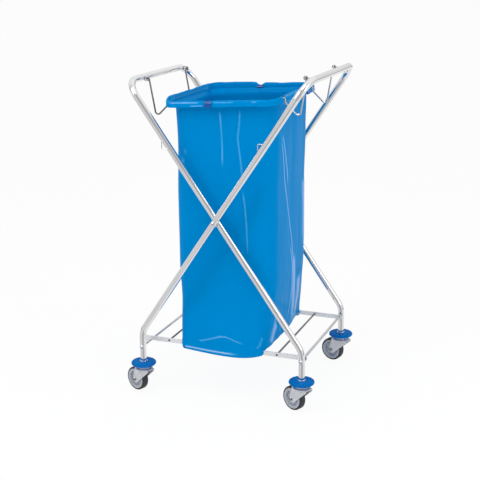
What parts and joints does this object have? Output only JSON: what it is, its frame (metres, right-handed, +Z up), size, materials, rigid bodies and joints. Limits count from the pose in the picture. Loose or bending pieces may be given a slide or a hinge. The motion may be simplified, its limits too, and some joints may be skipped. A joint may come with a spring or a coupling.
{
  "type": "waste bag trolley",
  "caption": "Folding scissor frame of chromed tube on swivel casters, with a hung wire ring that holds an open waste bag over a wire shelf.",
  "frame": {"origin": "on the floor, midway between the two pivot bolts", "axes": "+Z up, X across the two handle bars with the outer frame's handle at +X, Y along the handle bars"},
  "size_m": [0.6122, 0.543, 0.9912],
  "materials": {
    "tube_chrome": "polished chrome plate on steel tube",
    "wire_chrome": "chrome plated steel wire and bar",
    "bolt_steel": "plated fasteners",
    "fork_zinc": "zinc plated pressed steel",
    "bumper_blue": "soft blue plastic with a satin surface",
    "collar_zinc": "plated steel",
    "rim_grey": "light grey plastic",
    "tyre_black": "smooth dark rubber",
    "spacer_grey": "plastic sleeve",
    "clip_navy": "dark blue plastic",
    "bag_blue": "thin glossy film, slightly see-through"
  },
  "bodies": {
    "outer_frame": {"outer_frame_tube": "tube_chrome", "left_cross_rod": "wire_chrome", "left_rod_caps": "bolt_steel", "right_eye_bolts": "bolt_steel", "outer_leg_hooks": "wire_chrome", "pivot_bolts": "bolt_steel", "pivot_washers": "bolt_steel", "pivot_nuts": "bolt_steel", "left_front_kingpin": "collar_zinc", "left_front_bumper": "bumper_blue", "left_back_kingpin": "collar_zinc", "left_back_bumper": "bumper_blue"},
    "inner_frame": {"inner_frame_tube": "tube_chrome", "right_cross_rod": "wire_chrome", "right_rod_caps": "bolt_steel", "shelf_spacers": "spacer_grey", "left_eye_bolts": "bolt_steel", "inner_leg_hooks": "wire_chrome", "right_front_kingpin": "collar_zinc", "right_front_bumper": "bumper_blue", "right_back_kingpin": "collar_zinc", "right_back_bumper": "bumper_blue"},
    "shelf": {"shelf_front_bar": "wire_chrome", "shelf_back_bar": "wire_chrome", "shelf_left_rod": "wire_chrome", "shelf_middle_rod": "wire_chrome", "shelf_right_rod": "wire_chrome"},
    "right_hangers": {"hanger_right_front": "wire_chrome", "hanger_right_back": "wire_chrome"},
    "ring_and_bag": {"bag_ring": "wire_chrome", "clip_front": "clip_navy", "clip_back": "clip_navy", "clip_right": "clip_navy", "waste_bag": "bag_blue"},
    "left_hangers": {"hanger_left_front": "wire_chrome", "hanger_left_back": "wire_chrome"},
    "left_front_swivel": {"left_front_fork": "fork_zinc", "left_front_axle": "bolt_steel", "left_front_axle_nut": "bolt_steel"},
    "left_front_wheel": {"left_front_rim": "rim_grey", "left_front_tyre": "tyre_black"},
    "left_back_swivel": {"left_back_fork": "fork_zinc", "left_back_axle": "bolt_steel", "left_back_axle_nut": "bolt_steel"},
    "left_back_wheel": {"left_back_rim": "rim_grey", "left_back_tyre": "tyre_black"},
    "right_front_swivel": {"right_front_fork": "fork_zinc", "right_front_axle": "bolt_steel", "right_front_axle_nut": "bolt_steel"},
    "right_front_wheel": {"right_front_rim": "rim_grey", "right_front_tyre": "tyre_black"},
    "right_back_swivel": {"right_back_fork": "fork_zinc", "right_back_axle": "bolt_steel", "right_back_axle_nut": "bolt_steel"},
    "right_back_wheel": {"right_back_rim": "rim_grey", "right_back_tyre": "tyre_black"}
  },
  "joints": [
    {"name": "frame_fold", "type": "hinge", "parent": "outer_frame", "child": "inner_frame", "pos_m": [0, 0, 0.565], "axis": [0, 1, 0], "range_deg": [0, 34]},
    {"name": "shelf_swing", "type": "hinge", "parent": "inner_frame", "child": "shelf", "pos_m": [0.2616, 0, 0.163], "axis": [0, -1, 0], "range_deg": [0, 15.64]},
    {"name": "hanger_right", "type": "hinge", "parent": "outer_frame", "child": "right_hangers", "pos_m": [0.24671, 0, 0.98218], "axis": [0, -1, 0], "range_deg": [0, 66.3]},
    {"name": "ring_level", "type": "hinge", "parent": "right_hangers", "child": "ring_and_bag", "pos_m": [0.17624, 0, 0.91618], "axis": [0, -1, 0], "range_deg": [-83.3, 0]},
    {"name": "hanger_left", "type": "hinge", "parent": "ring_and_bag", "child": "left_hangers", "pos_m": [-0.1733, 0, 0.89818], "axis": [0, -1, 0], "range_deg": [-82.88, 0]},
    {"name": "left_front_swivel", "type": "hinge", "parent": "outer_frame", "child": "left_front_swivel", "pos_m": [-0.2462, -0.233, 0.092], "axis": [0, 0, 1], "continuous": true},
    {"name": "left_front_roll", "type": "hinge", "parent": "left_front_swivel", "child": "left_front_wheel", "pos_m": [-0.27428, -0.22245, 0.0375], "axis": [0.3518, 0.9361, 0], "continuous": true},
    {"name": "left_back_swivel", "type": "hinge", "parent": "outer_frame", "child": "left_back_swivel", "pos_m": [-0.2462, 0.233, 0.092], "axis": [0, 0, 1], "continuous": true},
    {"name": "left_back_roll", "type": "hinge", "parent": "left_back_swivel", "child": "left_back_wheel", "pos_m": [-0.27401, 0.24424, 0.0375], "axis": [0.3746, 0.9272, 0], "continuous": true},
    {"name": "right_front_swivel", "type": "hinge", "parent": "inner_frame", "child": "right_front_swivel", "pos_m": [0.2616, -0.21, 0.092], "axis": [0, 0, 1], "continuous": true},
    {"name": "right_front_roll", "type": "hinge", "parent": "right_front_swivel", "child": "right_front_wheel", "pos_m": [0.23448, -0.19718, 0.0375], "axis": [0.4274, 0.9041, 0], "continuous": true},
    {"name": "right_back_swivel", "type": "hinge", "parent": "inner_frame", "child": "right_back_swivel", "pos_m": [0.2616, 0.21, 0.092], "axis": [0, 0, 1], "continuous": true},
    {"name": "right_back_roll", "type": "hinge", "parent": "right_back_swivel", "child": "right_back_wheel", "pos_m": [0.23267, 0.21792, 0.0375], "axis": [0.2639, 0.9646, 0], "continuous": true}
  ],
  "couplings": [
    {"joint": "shelf_swing", "follows": "frame_fold", "ratio": 0.46},
    {"joint": "hanger_right", "follows": "frame_fold", "ratio": 1.95},
    {"joint": "ring_level", "follows": "frame_fold", "ratio": -2.45},
    {"joint": "hanger_left", "follows": "frame_fold", "ratio": -2.4375}
  ]
}
